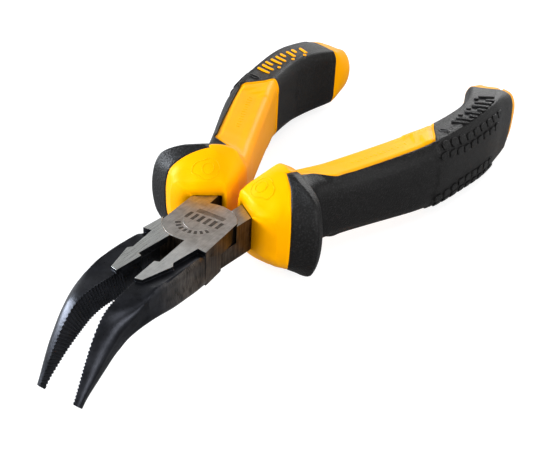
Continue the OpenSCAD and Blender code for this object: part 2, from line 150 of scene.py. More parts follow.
# Half rings of the flared front: x, y, z
COLLAR = np.array([
    [14.3, 0.45, 0], [14.3, 0.45, 3.5], [14.4, 0.6, 6], [14.5, 1.2, 8.1], [13.6, 3.6, 8.45],
    [12.5, 5.7, 8.35], [11.8, 7.8, 8.1], [11.4, 11.4, 7.3], [11.2, 14.2, 6.6],
    [11.1, 15.4, 5.4], [11.05, 15.7, 3.8], [11, 15.9, 2], [11, 15.9, 0]]) * UNIT
COLOUR = np.array([
    [20.5, 0.45, 0], [20.5, 0.45, 3.8], [20.5, 0.7, 7], [20.7, 1.9, 9.8], [21, 4.2, 11.8],
    [21, 7, 13], [21.4, 10, 13.5], [19.6, 12.4, 12.9], [17.6, 14.6, 11.8],
    [15.4, 16.4, 10.3], [13.9, 17.7, 8.6], [13.1, 18.5, 5], [12.9, 18.7, 0]]) * UNIT
RIM = np.array([
    [25.2, 0.9, 0], [25.2, 0.9, 4], [25.3, 1.2, 7.5], [25.5, 2.6, 10.6], [25.8, 4.6, 12.9],
    [25, 6.5, 13.6], [22.6, 11, 13.8], [20.2, 15.2, 13.5], [18.3, 19.8, 12.4],
    [16.9, 23, 10.3], [16.2, 24.3, 7.6], [15.9, 25.1, 4], [15.8, 25.4, 0]]) * UNIT
BACK = np.array([
    [27, 1.3, 0], [27, 1.3, 4], [27, 1.6, 7.4], [27, 3.2, 10], [27.5, 5.2, 11.7],
    [27.4, 7.2, 12.1], [25.8, 10.8, 12.7], [23.2, 15, 12.7], [21.4, 19.3, 11.8],
    [20.1, 22.3, 9.8], [19.4, 23.5, 7.2], [19.1, 24.3, 3.8], [19, 24.6, 0]]) * UNIT
NECK = np.array([
    [28.4, 1.9, 0], [28.4, 1.9, 4], [28.4, 2.2, 7], [28.5, 3.8, 9], [28.7, 5.4, 10.1],
    [28.6, 7.2, 10.6], [27.4, 10, 11], [25.6, 13, 10.8], [23.8, 15.4, 9.8],
    [22.7, 17, 8], [22, 17.9, 5.8], [21.7, 18.4, 3], [21.6, 18.6, 0]]) * UNIT
# rise in z between collar and colour line
SWELL = np.array([
    [0, 0, rise] for rise in (0, 0, 0.1, 0.3, 0.6, 0.8, 0.9, 1, 1, 0.8, 0.4, 0.1, 0)]) * 0.9 * UNIT

# x of the 13 columns, table units: start and end of the bare strip, end of the sleeve
STRIP_START = np.array([31, 31, 31, 31, 31, 31, 31, 30, 29, 28, 27.4, 27, 27.0])
STRIP_END = np.array([81.2, 81.2, 81.2, 81.2, 77.5, 73.8, 70.3, 70.1, 70, 70, 70, 70, 70])
SLEEVE_END = np.array([
    117, 117, 117, 117.2, 119.2, 120.4, 120.8, 120.8, 120.5, 119.9, 119.4, 119, 119])
CAP_STATIONS = (123.2, 126, 128.2, 129.8, 130.7)
CAP_LIMIT = 130.75


# ---------------------------------------------------------------- grip surface
def body_point(x, column):
    """Points of one column of the half ring at stations x."""
    on_sleeve = (x > 68.6) & (x < 118)
    step = np.where(on_sleeve, STEP / UNIT * np.minimum(1, (x - 68.6) / 0.45), 0)
    outer = read_table(BODY, x, 1) + step
    inner = read_table(BODY, x, 2)
    high = read_table(BODY, x, 3) + step
    line = read_table(BODY, x, 4) * (outer - inner)
    r = np.minimum(1, high / 9)  # corner size
    t = smooth((x - 116.5) / 7)  # towards the rounder section of the cap
    y, z = [
        (inner, 0 * high),
        (inner + 0.55 * t * r, mix(0.36, 0.42, t) * high),
        (inner + mix(0.25, 2.1, t) * r, mix(high - 3 * r, 0.76 * high, t)),
        (inner + mix(1.3, 3.7, t) * r, mix(high - 1.2 * r, 0.92 * high, t)),
        (inner + 0.33 * line + mix(0.9, 1.7, t) * r, high - 0.6 * r),
        (inner + 0.68 * line + 0.4 * r, high - 0.15 * r),
        (inner + line, high + 0.3 * r),
        (mix(inner + line, outer - 1.9 * r, 0.24), high + 0.25 * r),
        (outer - 1.9 * r, high - 0.75 * r),
        (outer - 0.75 * r, high - 2.5 * r),
        (outer - 0.2 * r, 0.5 * high),
        (outer, 0.25 * high),
        (outer, 0 * high),
    ][column]
    return np.stack([x, y, z], -1) * UNIT


def body_half(stations):
    """Half rings (rows, 13, 3) for stations (rows, 13)."""
    return np.stack([body_point(stations[:, j], j) for j in range(13)], 1)


def whole(half):
    """Half rings closed with their mirror image on -Z."""
    mirrored = half[:, 11:0:-1].copy()
    mirrored[..., 2] *= -1
    return np.concatenate([half, mirrored], 1)


FRONT_CAGE = np.stack(
    [COLLAR, mix(COLLAR, COLOUR, 0.35) + SWELL, mix(COLLAR, COLOUR, 0.7) + 0.6 * SWELL]
    + [COLOUR, RIM, BACK, NECK]
    + list(body_half(np.stack([mix(STRIP_START, STRIP_END, f) for f in (0, 0.06, 0.12)]))))


def round_crease(rows, crease):
    """Pulls the rows near a crease towards the mean of their neighbours."""
    near = np.arange(crease - 3, crease + 4)
    for _ in range(5):
        rows[near] = mix(rows[near], 0.5 * (rows[near - 1] + rows[near + 1]), 0.5)


def column_places(steps):
    """Column positions 0..24 with steps[j] steps in half segment j."""
    half = sum((spread(j, j + 1, steps[j]) for j in range(12)), [])
    return np.array(half + [12.0] + [24 - v for v in half[:0:-1]])


def outward_normals(skin):
    """Unit normals of a grid closed along axis 1, pointing out."""
    along = np.gradient(skin, axis=0)
    around = np.roll(skin, -1, 1) - np.roll(skin, 1, 1)
    normal = np.cross(along, around)
    normal /= np.linalg.norm(normal, axis=-1, keepdims=True) + 1e-12
    if (normal * (skin - skin.mean(1, keepdims=True))).sum(-1).mean() < 0:
        normal = -normal
    return normal


def run_rows(skin, row):
    """Distance along each column from a row, negative before it."""
    step = np.linalg.norm(skin[1:] - skin[:-1], axis=-1)
    run = np.concatenate([np.zeros((1, skin.shape[1])), np.cumsum(step, 0)])
    return run - run[row]


def run_columns(skin, column):
    """Distance round each row from a column, towards higher columns."""
    step = np.linalg.norm(skin[:, 1:] - skin[:, :-1], axis=-1)
    run = np.concatenate([np.zeros((skin.shape[0], 1)), np.cumsum(step, 1)], 1)
    return run - run[:, column : column + 1]


class Grip:
    """The outer skin of one grip as a fine grid, with the distance from the colour line."""

    def __init__(self, rows, columns):
        """rows: steps of each zone from front to end; columns: steps of each half segment."""
        self.columns = column_places(columns)
        self.skin = self.make_skin(**rows)
        self.normal = outward_normals(self.skin)
        v = self.columns
        # the overmould covers the outer columns from 6 to 18
        self.line_up, self.line_down = (int(np.argmin(abs(v - line))) for line in (6, 18))
        self.covered = ((v > 6) & (v < 18))[None, :]
        from_up, from_down = self.from_lines()
        along = run_rows(self.skin, self.line_row)
        flank = np.where(
            self.covered & (along > 0), np.minimum(np.minimum(from_up, -from_down), along), 0)
        sleeve = np.maximum(run_rows(self.skin, self.strip_row), 0)
        to_end = np.maximum(-run_rows(self.skin, self.sleeve_row), 0)
        self.cover = np.minimum(np.maximum(flank, sleeve), to_end)
        # sink of the hidden faces, and their shift along x
        marks = [self.line_row, self.rim_row, self.back_row, self.back_row + 12, len(self.skin)]
        k = np.arange(len(self.skin))
        self.shift = np.interp(k, marks, [0.9 * UNIT, 1.6 * UNIT, -0.5 * UNIT, 0, 0])
        self.sink = np.interp(k, marks, [0.15, SKIN + 0.4, SKIN + 0.7, SKIN, SKIN])

    def make_skin(self, collar, face, rim, back, neck, strip, sleeve, cap):
        self.line_row = collar
        self.rim_row = collar + face
        self.back_row = self.rim_row + rim
        self.strip_row = self.back_row + back + neck + strip
        self.sleeve_row = self.strip_row + sleeve
        places = spread(0, 3, collar)
        for start, count in enumerate((face, rim, back, neck), 3):
            places += spread(start, start + 1, count)
        front = spline(FRONT_CAGE, places, creases=(3, 4, 5))
        stations = [mix(STRIP_START, STRIP_END, f) for f in spread(0, 1, strip)]
        stations += [mix(STRIP_END, SLEEVE_END, f) for f in spread(0, 1, sleeve)]
        cap_cage = np.stack([SLEEVE_END] + [np.full(13, x) for x in CAP_STATIONS])[..., None]
        cap_rows = spline(cap_cage, spread(0, 5, cap) + [5])[..., 0]
        stations += list(np.minimum(cap_rows, CAP_LIMIT))
        rows = np.concatenate([front, body_half(np.stack(stations))])
        round_crease(rows, self.rim_row)
        round_crease(rows, self.back_row)
        skin = spline(np.swapaxes(whole(rows), 0, 1), self.columns, closed=True)
        skin = np.swapaxes(skin, 0, 1).copy()
        middle = np.isclose(self.columns, 0) | np.isclose(self.columns, 12)
        skin[..., 2] = np.where(middle, 0, skin[..., 2])
        return skin

    def from_lines(self):
        """Distances round the rows from the colour lines on +Z and on -Z."""
        return run_columns(self.skin, self.line_up), run_columns(self.skin, self.line_down)

    def under(self, less):
        """The hidden faces below the overmould, raised by less."""
        inward = self.skin.mean(1, keepdims=True) - self.skin
        inward[..., 0] = 0
        inward /= np.linalg.norm(inward, axis=-1, keepdims=True) + 1e-9
        hidden = self.skin + inward * (np.maximum(self.sink - less, 0.05))[:, None, None]
        hidden[..., 0] += self.shift[:, None]
        return hidden

    def sample(self, row, column):
        """Point and outward normal at a fractional row and column."""
        row_count, column_count = self.skin.shape[:2]
        row = np.clip(np.asarray(row, float), 0, row_count - 1.001)
        column = np.asarray(column, float) % column_count
        i, j = np.floor(row).astype(int), np.floor(column).astype(int)
        fr, fc = (row - i)[..., None], (column - j)[..., None]
        k = (j + 1) % column_count
        point, normal = (
            mix(mix(A[i, j], A[i, k], fc), mix(A[i + 1, j], A[i + 1, k], fc), fr)
            for A in (self.skin, self.normal))
        return point, normal / np.linalg.norm(normal, axis=-1, keepdims=True)

    def at(self, x, v):
        """Grid place of station x, table units, on column position v."""
        column = float(np.interp(v, np.append(self.columns, 24.0), np.arange(len(self.columns) + 1)))
        rows = np.arange(self.back_row + 12, len(self.skin) - 8)
        xs = self.sample(rows, np.full(len(rows), column))[0][:, 0]
        return float(np.interp(x * UNIT, xs, rows)), column

    def near(self, point):
        """Grid place of the vertex nearest to a point, mm."""
        distance = np.linalg.norm(self.skin - point, axis=-1)
        return tuple(float(k) for k in np.unravel_index(np.argmin(distance), distance.shape))

    def patch(self, place, offsets, height, exact=False):
        """Points at local offsets (along x, round the body), mm, raised over the skin."""
        row, column = place
        e = 0.5
        along = (self.sample(row + e, column)[0] - self.sample(row - e, column)[0]) / (2 * e)
        around = (self.sample(row, column + e)[0] - self.sample(row, column - e)[0]) / (2 * e)
        axis1 = along / np.linalg.norm(along)
        axis2 = around - axis1 * (around @ axis1)
        axis2 /= np.linalg.norm(axis2)
        to_grid = np.linalg.inv(np.array([
            [along @ axis1, around @ axis1], [along @ axis2, around @ axis2]])).T
        offsets = np.asarray(offsets, float)
        d = offsets @ to_grid
        points, normal = self.sample(row + d[:, 0], column + d[:, 1])
        if exact:
            # corrects for the uneven spacing of the grid
            centre = self.sample(row, column)[0]
            for _ in range(6):
                reached = np.stack([(points - centre) @ axis1, (points - centre) @ axis2], 1)
                d = d + 0.7 * (offsets - reached) @ to_grid
                points, normal = self.sample(row + d[:, 0], column + d[:, 1])
        return points + normal * height


# ---------------------------------------------------------------- raised shapes on the grips
def pill(length, width, inset, corner=None):
    """Rounded bar, long side along the second coordinate."""
    radius = min(length, width) / 2 if corner is None else corner
    a, b, radius = width / 2 - inset, length / 2 - inset, max(radius - inset, 0.03)
    points = []
    for k, (sx, sy) in enumerate(((1, 1), (-1, 1), (-1, -1), (1, -1))):
        for t in np.linspace(0, math.pi / 2, 9):
            w = t + k * math.pi / 2
            points.append((
                sx * (a - radius) + radius * math.cos(w), sy * (b - radius) + radius * math.sin(w)))
    return np.array(points)


def turn(points, degrees):
    c, s = math.cos(math.radians(degrees)), math.sin(math.radians(degrees))
    return points @ np.array([[c, s], [-s, c]])


def on_face(face, column):
    """A column position on the +Z face, or its mirror image on the -Z face."""
    return column if face > 0 else 24 - column


class Tiles:
    """Small raised shapes that follow the skin of a grip."""

    def __init__(self, grip):
        self.grip, self.verts, self.faces, self.count = grip, [], [], 0

    def loops(self, place, loops, closed, exact=False):
        """Skins loops of (offsets, height); open stacks get a fan at both ends."""
        m = len(loops[0][0])
        rings = [self.grip.patch(place, offsets, h, exact) for offsets, h in loops]
        k, base = len(rings), self.count
        self.verts += rings
        for i in range(k if closed else k - 1):
            a, b = base + i * m, base + (i + 1) % k * m
            self.faces += [(a + j, a + (j + 1) % m, b + (j + 1) % m, b + j) for j in range(m)]
        self.count += k * m
        if closed:
            return
        for i in (0, k - 1):
            self.verts.append(rings[i].mean(0)[None])
            for j in range(m):
                a, b = base + i * m + j, base + i * m + (j + 1) % m
                self.faces.append((self.count, a, b) if i == 0 else (self.count, b, a))
            self.count += 1

    def bar(self, place, length, width, height, deep=0.3, corner=None, tilt=0.0, edge=0.12):
        profile = [  # inset, height
            (0, -deep), (0, height - edge), (0.35 * edge, height - 0.35 * edge), (edge, height),
            (0.5 * min(length, width) - 0.08, height)]
        if corner is not None:
            profile.insert(-1, (0.3 * min(length, width), height))
        self.loops(
            place, [(turn(pill(length, width, i, corner), tilt), h) for i, h in profile], False)

    def ring(self, place, radius_x, radius_around, width, height):
        t = np.arange(40) * math.pi / 20
        profile = (  # share of the width, height
            (0, -0.3), (0, height * 0.6), (0.25, height), (0.75, height), (1, height * 0.6), (1, -0.3))
        self.loops(place, [
            (np.stack([(radius_x - f * width) * np.cos(t), (radius_around - f * width) * np.sin(t)], 1), h)
            for f, h in profile], True, True)

    def bar_run(self, face, lengths, start, columns, shift, taper, dot, **shape):
        """Bars from x = start on; the short ones are shifted and have a dot beside them."""
        dot_shift, dot_length = dot
        for k, length in enumerate(lengths):
            f = k / (len(lengths) - 1)
            x, column = mix(start, 107.5, f), mix(*columns, f)
            if length < 4:
                column += shift
            place = self.grip.at(x, on_face(face, column))
            self.bar(place, length * mix(1, taper, f), **shape)
            if length < 4:
                self.bar(self.grip.at(x, on_face(face, column - dot_shift)), dot_length, **shape)

    def add_to(self, verts, faces):
        base = len(verts)
        return np.concatenate([verts] + self.verts), [tuple(q) for q in faces] + [
            tuple(base + k for k in q) for q in self.faces]


def overmould_tiles(grip, side):
    tiles = Tiles(grip)
    for face in (1, -1):
        place = grip.at(77.2, on_face(face, 5.2))
        tiles.ring(place, radius_x=0.95, radius_around=1.75, width=0.45, height=0.2)
        if face > 0:
            # faint ring on the inner side
            place = grip.at(98.0, 23.9)
            tiles.ring(place, radius_x=0.85, radius_around=1.3, width=0.3, height=0.08)
        if (side == "b") == (face > 0):
            tiles.bar_run(
                face, (5.4, 5.4, 3.0, 5.4, 3.0, 5.4, 5.4, 3.0, 5.4), start=84.2, columns=(5.5, 4.9),
                shift=0.55, taper=0.9, dot=(1.55, 1.4), width=1.3, height=0.55)
        # two staggered rows of rounded pads on the shoulder
        pads = ((72.2, 4.0, (8.42, 9.05), 2.3, 3.0), (70.9, 3.9, (9.5, 10.05), 2.2, 2.9))
        for k in range(9):
            for start, pitch, columns, length, width in pads:
                column = on_face(face, mix(*columns, min(1, k / 3)))
                tiles.bar(grip.at(start + pitch * k, column), length, width, height=0.42, corner=0.95)
    return tiles


def core_tiles(grip, side):
    tiles = Tiles(grip)
    for face in (1, -1):
        if (side == "a") == (face > 0):
            # rooted in the core, the bars stand out through the overmould
            tiles.bar_run(
                face, (4.6, 4.6, 2.7, 4.6, 4.6, 2.7, 4.6, 2.7, 4.6), start=83.2, columns=(4.95, 4.2),
                shift=0.35, taper=0.86, dot=(1.35, 1.1), width=1.05, height=0.26, deep=1.2, tilt=-8)
        # fine raised bars along the bare strip
        for k in range(13):
            place = grip.at(46 + 1.55 * k, on_face(face, 4.45))
            tiles.bar(place, length=1.5 if k % 4 else 1.1, width=0.5, height=0.09, edge=0.05)
        # two rings, one inside the other, on the flared front
        place = grip.near(np.array([15.6, 6.9, 10.8 * face]) * UNIT)
        for radius_x, radius_around in ((3.1, 2.8), (1.75, 1.55)):
            tiles.ring(place, radius_x, radius_around, width=0.2, height=0.09)
    return tiles


# ---------------------------------------------------------------- meshes
def grid_faces(row_count, column_count, keep=None):
    """Quads of a grid closed round its columns; keep masks the cells."""
    r = np.arange(row_count - 1)[:, None] * column_count
    c = np.arange(column_count)[None, :]
    c2 = (c + 1) % column_count
    faces = np.stack([r + c, r + c2, r + column_count + c2, r + column_count + c], -1)
    if keep is not None:
        faces = faces[keep]
    return faces.reshape(-1, 4)


def to_frame(points, side):
    """Closed-tool millimetres to the CAD frame in metres."""
    points = points.reshape(-1, 3).copy()
    angle = OPEN / 2
    if side == "b":
        points[:, 1] *= -1
        angle = -angle
    c, s = math.cos(angle), math.sin(angle)
    x, y, z = points.T
    return np.stack([x * c - y * s, x * s + y * c, z - THICK / 2], 1) / 1000


def add_mesh(name, verts, faces):
    mesh = bpy.data.meshes.new(name)
    faces = [tuple(int(k) for k in f) for f in faces]
    mesh.from_pydata([tuple(map(float, p)) for p in verts], [], faces)
    mesh.polygons.foreach_set("use_smooth", [True] * len(mesh.polygons))
    mesh.update()
    ob = bpy.data.objects.new(name, mesh)
    bpy.context.scene.collection.objects.link(ob)
    return ob


def add_solid(name, points, faces, side):
    """Mesh from closed-tool points, its faces turned so that it encloses positive volume."""
    ob = add_mesh(name, to_frame(points, side), faces)
    bm = bmesh.new()
    bm.from_mesh(ob.data)
    bmesh.ops.recalc_face_normals(bm, faces=bm.faces)
    if bm.calc_volume(signed=True) < 0:
        bmesh.ops.reverse_faces(bm, faces=bm.faces)
    bm.to_mesh(ob.data)
    bm.free()
    return ob


def add_loft(name, rings, side):
    """Solid through rings, closed by one face at each end."""
    rings = np.stack(rings)
    row_count, column_count = rings.shape[:2]
    faces = [tuple(q) for q in grid_faces(row_count, column_count)]
    faces.append(tuple(range(column_count))[::-1])
    faces.append(tuple((row_count - 1) * column_count + j for j in range(column_count)))
    return add_solid(name, rings.reshape(-1, 3), faces, side)


# ---------------------------------------------------------------- overmould
def overmould(side):
    grip = Grip(
        dict(collar=4, face=16, rim=12, back=12, neck=10, strip=78, sleeve=130, cap=6),
        (10, 10, 6, 8, 8, 8, 3, 5, 8, 9, 8, 8))
    skin, cover = grip.skin, grip.cover
    edge_drop = -0.16 * (1 - smooth(cover / 0.4))
    outer = skin + grip.normal * edge_drop[..., None]
    inner = mix(skin - grip.normal * 0.8, grip.under(SEAM), smooth(cover / 0.45)[..., None])
    row_count, column_count = skin.shape[:2]
    keep = np.zeros((row_count - 1, column_count), bool)
    keep[grip.line_row : grip.strip_row, grip.line_up : grip.line_down] = True
    keep[grip.strip_row : grip.sleeve_row, :] = True
    quads = grid_faces(row_count, column_count, keep)
    border = {}  # edges that only one quad uses
    for q in quads:
        for k in range(4):
            a, b = int(q[k]), int(q[(k + 1) % 4])
            if (b, a) in border:
                del border[(b, a)]
            else:
                border[(a, b)] = True
    n = row_count * column_count
    faces = [tuple(q) for q in quads] + [tuple(x + n for x in q[::-1]) for q in quads]
    faces = np.array(faces + [(b, a, a + n, b + n) for a, b in border])
    verts = np.concatenate([outer.reshape(-1, 3), inner.reshape(-1, 3)])
    used = np.unique(faces.ravel())
    index = -np.ones(len(verts), int)
    index[used] = np.arange(len(used))
    verts, faces = overmould_tiles(grip, side).add_to(verts[used], index[faces])
    return add_solid("grip_overmould_" + side, verts, faces, side)


# ---------------------------------------------------------------- core
# Tang of the lever: x, inner y, outer y, half thickness
TANG = [
    [9.5, 2.6, 8.42, 4.7], [15.1, 2.6, 8.42, 4.7], [16, 2.9, 8.9, 4.6], [24, 5.2, 10.8, 4.2],
    [33, 8.4, 13.8, 3.9], [42, 11.7, 17, 3.6], [52, 15.4, 20.4, 3.3], [62, 18.8, 23.6, 3],
    [71, 21.2, 25.7, 2.8], [80, 23.1, 27.3, 2.6], [92, 24.4, 27.8, 2.3]]
# Half ring of the cavity round the tang: share of its width, share of its half height
CAVITY_RING = np.array([
    [0, 0], [0, 0.5], [0, 1], [0.18, 1], [0.36, 1], [0.54, 1], [0.7, 1], [0.86, 1], [1, 1],
    [1, 0.75], [1, 0.5], [1, 0.25], [1, 0]])


def cavity_half(inner_x, inner_y, outer_y, high, outer_x=None):
    outer_x = inner_x if outer_x is None else outer_x
    across, up = CAVITY_RING.T
    return np.stack([mix(inner_x, outer_x, across), mix(inner_y, outer_y, across), up * high], 1)


def cavity(columns):
    """Rings round the tang from its end to the mouth, read at the grip's columns."""
    def round_tang(station, beyond=0):
        x, inner, outer, high = (value * UNIT for value in station)
        return cavity_half(x + beyond, inner - FIT, outer + FIT, high + FIT)

    outer, high = HALF_WIDTH + FIT, THICK / 2 + FIT
    halves = [round_tang(TANG[-1], beyond=0.3)] + [round_tang(t) for t in TANG[:1:-1]]
    halves.append(cavity_half(TANG[1][0] * UNIT, 2.5 * UNIT - FIT, outer, high))
    halves.append(cavity_half(14.2 * UNIT, 1.5 * UNIT, outer, high, outer_x=10 * UNIT))
    rings = whole(np.stack(halves))
    i = np.floor(columns).astype(int) % 24
    s = (columns - np.floor(columns))[None, :, None]
    return mix(rings[:, i], rings[:, (i + 1) % 24], s)


def core_relief(grip):
    """Height of the core over the skin: sunk along the colour line."""
    x = grip.skin[..., 0] / UNIT
    from_up, from_down = grip.from_lines()
    away = np.minimum(abs(from_up), abs(from_down))
    along = run_rows(grip.skin, grip.line_row)
    to_strip_end = -run_rows(grip.skin, grip.strip_row)
    far = 1e3
    bare_side = np.where(~grip.covered & (along > 0), away, far)
    bare_end = np.where(to_strip_end > 0, to_strip_end, far)
    bare_front = np.where(grip.covered & (along <= 0), -along, far)
    # chamfers along the side and the end of the strip, and a rounded edge at the front
    h = -0.62 * (1 - np.clip(bare_side / 1.7, 0, 1)) * smooth((x - 30) / 9)
    h -= 0.2 * (1 - smooth(bare_side / 0.5))
    h -= 0.5 * (1 - np.clip(bare_end / 2.2, 0, 1))
    h -= 0.12 * (1 - smooth(bare_front / 0.5))
    # the front corner of the strip dips under the edge of the overmould
    return h - 0.5 * np.exp(-((x - 34) / 1.8) ** 2 - (away / 1.1) ** 2)


def core(side):
    grip = Grip(
        dict(collar=34, face=10, rim=8, back=8, neck=10, strip=100, sleeve=14, cap=26),
        (6, 6, 6, 9, 9, 10, 3, 3, 3, 3, 3, 3))
    outer = grip.skin + grip.normal * core_relief(grip)[..., None]
    outer = mix(outer, grip.under(0.0), smooth(grip.cover / 0.28)[..., None])
    hole = cavity(grip.columns)
    lip = mix(hole[-1], outer[0], 0.6) - np.array([0.12, 0, 0])
    rings = np.concatenate([hole, lip[None], outer])
    row_count, n = rings.shape[:2]
    faces = [tuple(q) for q in grid_faces(row_count, n)]
    verts = np.concatenate([rings.reshape(-1, 3), rings[0].mean(0)[None], rings[-1].mean(0)[None]])
    k, last = len(verts), (row_count - 1) * n
    faces += [(k - 2, (j + 1) % n, j) for j in range(n)]
    faces += [(k - 1, last + j, last + (j + 1) % n) for j in range(n)]
    verts, faces = core_tiles(grip, side).add_to(verts, faces)
    return add_solid("grip_core_" + side, verts, faces, side)


# ---------------------------------------------------------------- nose
# Stations from the head to the tip: x and z of the upper edge, x and z of the lower edge,
# width, place in NOSE_FORMS
NOSE = np.array([
    [-9.7, 3.34, -9.7, -4.76, 8.47, 0], [-11.4, 3.4, -11.4, -4.76, 8.46, 0.4],
    [-13.2, 3.5, -13.2, -4.76, 8.42, 0.9], [-15.6, 3.6, -15.6, -4.7, 8.3, 1],
    [-19, 3.75, -18.6, -4.5, 8.05, 1], [-22.5, 3.85, -21.8, -4.2, 7.86, 1.1],
    [-25.6, 3.92, -24.6, -3.8, 7.76, 1.55], [-28.6, 3.93, -27.3, -3.4, 7.47, 2],
    [-31.5, 3.85, -30, -3.12, 7.04, 2.25], [-34.2, 3.72, -32.4, -3.2, 6.53, 2.55],
    [-36.6, 3.5, -34.4, -3.55, 5.96, 2.8], [-38.8, 2.95, -36.3, -4.15, 5.3, 2.95],
    [-40.8, 1.91, -37.9, -4.95, 4.7, 3], [-43, -0.1, -39.6, -5.95, 4.22, 3],
    [-45.3, -2.9, -41.3, -7, 3.72, 3], [-47.3, -5.8, -43.9, -8.8, 3.26, 3],
    [-49, -8.5, -46.3, -10.75, 2.7, 3], [-51, -11.8, -49.2, -13.3, 1.96, 3],
    [-52.25, -13.7, -51, -15.38, 1.56, 3]])
NOSE_TABLE = np.concatenate([np.arange(len(NOSE))[:, None], NOSE], 1)
# Cross-sections: share of the width, share of the height down from the upper edge
NOSE_FORMS = np.array([
    [[0.35, 0], [0.7, 0], [0.94, 0.01], [0.99, 0.05], [1, 0.2], [1, 0.5], [1, 0.85],
     [0.98, 0.97], [0.6, 1], [0.3, 1]],
    [[0.35, 0], [0.62, -0.01], [0.8, -0.05], [0.9, -0.09], [0.95, -0.1], [0.975, -0.06],
     [0.99, 0.4], [1, 0.92], [0.6, 1], [0.3, 1]],
    [[0.35, 0], [0.55, -0.02], [0.7, -0.06], [0.79, -0.09], [0.84, -0.1], [0.87, -0.06],
     [0.94, 0.4], [1, 0.9], [0.6, 1], [0.3, 1]],
    [[0.35, 0.03], [0.6, 0.08], [0.8, 0.16], [0.94, 0.26], [0.99, 0.34], [1, 0.5],
     [0.995, 0.75], [0.96, 0.92], [0.6, 1], [0.3, 1]]])
NOSE_MIDDLE = np.stack([(NOSE[:, 0] + NOSE[:, 2]) / 2, (NOSE[:, 1] + NOSE[:, 3]) / 2], 1) * UNIT
# distance along the nose at each station
NOSE_RUN = np.concatenate(
    [[0], np.cumsum(np.linalg.norm(NOSE_MIDDLE[1:] - NOSE_MIDDLE[:-1], axis=1))])


def nose_ring(station, face):
    """Ring at a fractional station; its flat side stands at y = -face."""
    upper_x, upper_z, lower_x, lower_z, width = (
        read_table(NOSE_TABLE, station, column) * UNIT for column in range(1, 6))
    form = float(read_table(NOSE_TABLE, station, 6))
    i = min(int(form), 2)
    outline = mix(NOSE_FORMS[i], NOSE_FORMS[i + 1], form - i)
    outline = np.concatenate([[[face / width, 0]], outline, [[face / width, 1]]])
    height = np.linalg.norm([lower_x - upper_x, lower_z - upper_z])
    points = np.stack([np.maximum(outline[:, 0] * width, face), outline[:, 1] * height], 1)
    run = np.concatenate([[0], np.cumsum(np.linalg.norm(points[1:] - points[:-1], axis=1))])
    even = np.linspace(0, run[-1], 44)
    fine = spline(points, np.interp(even, run, np.arange(len(run))))
    y = np.concatenate([-np.maximum(fine[:, 0], face), np.full(10, -face)])
    down = np.concatenate([np.clip(fine[:, 1] / height, -0.12, 1), np.linspace(1, 0, 12)[1:-1]])
    return np.stack([mix(upper_x, lower_x, down), y, mix(upper_z, lower_z, down)], 1)


def nose(side):
    def station_at(run):
        return np.interp(run, NOSE_RUN, np.arange(len(NOSE_RUN)))

    rings = [nose_ring(v, HOLLOW) for v in np.linspace(0, 4.37, 36)]
    face_start = np.interp(4.38, np.arange(len(NOSE_RUN)), NOSE_RUN)
    teeth_start = NOSE_RUN[6] + 0.3 * (NOSE_RUN[7] - NOSE_RUN[6])
    rings += [nose_ring(station_at(s), FACE_GAP) for s in spread(face_start, teeth_start, 24)]
    teeth = int((NOSE_RUN[-1] - teeth_start) / TOOTH_PITCH)
    for k in range(teeth * 6 + 1):
        phase = (k % 6) / 6.0
        # a tooth has a narrow flat crest and a deeper rounded root
        depth = smooth((min(phase, 1 - phase) * 2 - 0.12) / 0.88) ** 0.8
        station = station_at(teeth_start + k * TOOTH_PITCH / 6)
        rings.append(nose_ring(station, FACE_GAP + TOOTH_DEPTH * depth))
    rings.append(nose_ring(len(NOSE) - 1.0, FACE_GAP + 0.6 * TOOTH_DEPTH))
    return add_loft("nose_" + side, rings, side)


# ---------------------------------------------------------------- head
# Outlines seen from above: x, y
ARROW_EDGE = -FACE_GAP - 0.04
ARROW_OUTLINE = [
    [-9 * UNIT, -1.3 * UNIT], [-20 * UNIT, -1.3 * UNIT], [-20.35 * UNIT, ARROW_EDGE],
    [-28.3 * UNIT, ARROW_EDGE], [-28 * UNIT, -2 * UNIT], [-20.1 * UNIT, -5 * UNIT],
    [-18.85 * UNIT, -4.25 * UNIT], [-10.8 * UNIT, -6 * UNIT], [-9 * UNIT, -6 * UNIT]]
JAW_OUTLINE = [
    [-3 * UNIT, -1.3 * UNIT], [-10.2 * UNIT, -1.3 * UNIT], [-10.8 * UNIT, -1.9 * UNIT],
    [-10.8 * UNIT, -6 * UNIT], [-11.3 * UNIT, -HALF_WIDTH], [-3 * UNIT, -HALF_WIDTH]]
TANG_OUTLINE = [
    [2 * UNIT, 2.5 * UNIT], [13.4 * UNIT, 2.5 * UNIT], [9.7 * UNIT, HALF_WIDTH],
    [2 * UNIT, HALF_WIDTH]]


def arc(angles, radius):
    return [[radius * math.cos(t), radius * math.sin(t)] for t in angles]


def anticlockwise(outline):
    p = np.array(outline, float)
    q = np.roll(p, -1, 0)
    return p if (p[:, 0] * q[:, 1] - q[:, 0] * p[:, 1]).sum() > 0 else p[::-1]


def is_inside(outline, point):
    (px, py), (qx, qy) = outline.T, np.roll(outline, -1, 0).T
    x, y = point
    hit = ((py > y) != (qy > y)) & (x < (qx - px) * (y - py) / (qy - py + 1e-30) + px)
    return bool(hit.sum() % 2)


